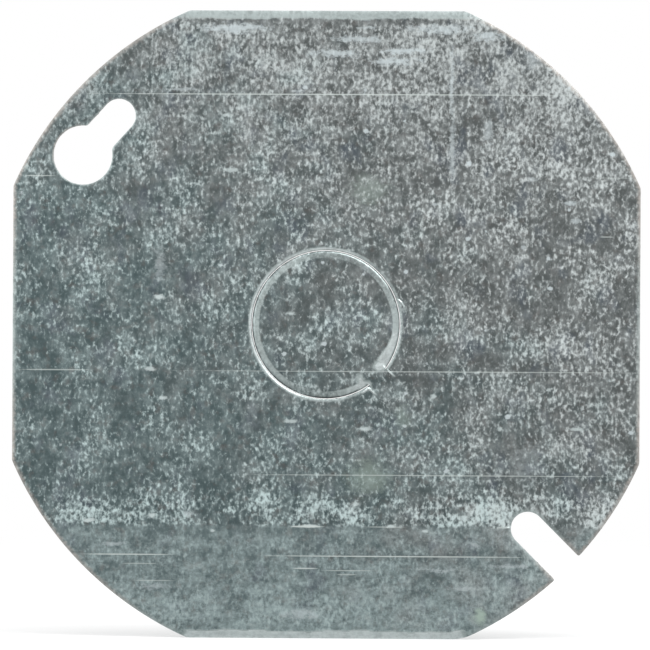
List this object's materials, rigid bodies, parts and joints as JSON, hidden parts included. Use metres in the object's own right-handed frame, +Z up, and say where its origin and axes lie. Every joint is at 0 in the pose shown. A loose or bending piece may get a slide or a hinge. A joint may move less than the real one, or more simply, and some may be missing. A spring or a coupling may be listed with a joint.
{
  "type": "octagon box cover",
  "caption": "Flat galvanised sheet-steel cover for an octagon electrical box, with a keyhole slot, an open screw slot and one tied centre knockout.",
  "frame": {"origin": "middle of the outline, on the back face that lies on the box's ears", "axes": "+Y into the box, so the front face looks along -Y; +Z up; +X to the right as seen from the front"},
  "size_m": [0.096, 0.0019, 0.096],
  "materials": {
    "galvanised_sheet": "satin, mottled zinc coating"
  },
  "bodies": {
    "cover": {"cover_plate": "galvanised_sheet", "knockout_tie": "galvanised_sheet"},
    "knockout": {"knockout_slug": "galvanised_sheet"}
  },
  "joints": [
    {"name": "knockout_hinge", "type": "hinge", "parent": "cover", "child": "knockout", "pos_m": [0.00802, 0, -0.00802], "axis": [-0.7071, 0, -0.7071], "range_deg": [0, 90], "deforming": ["knockout_tie"]}
  ]
}
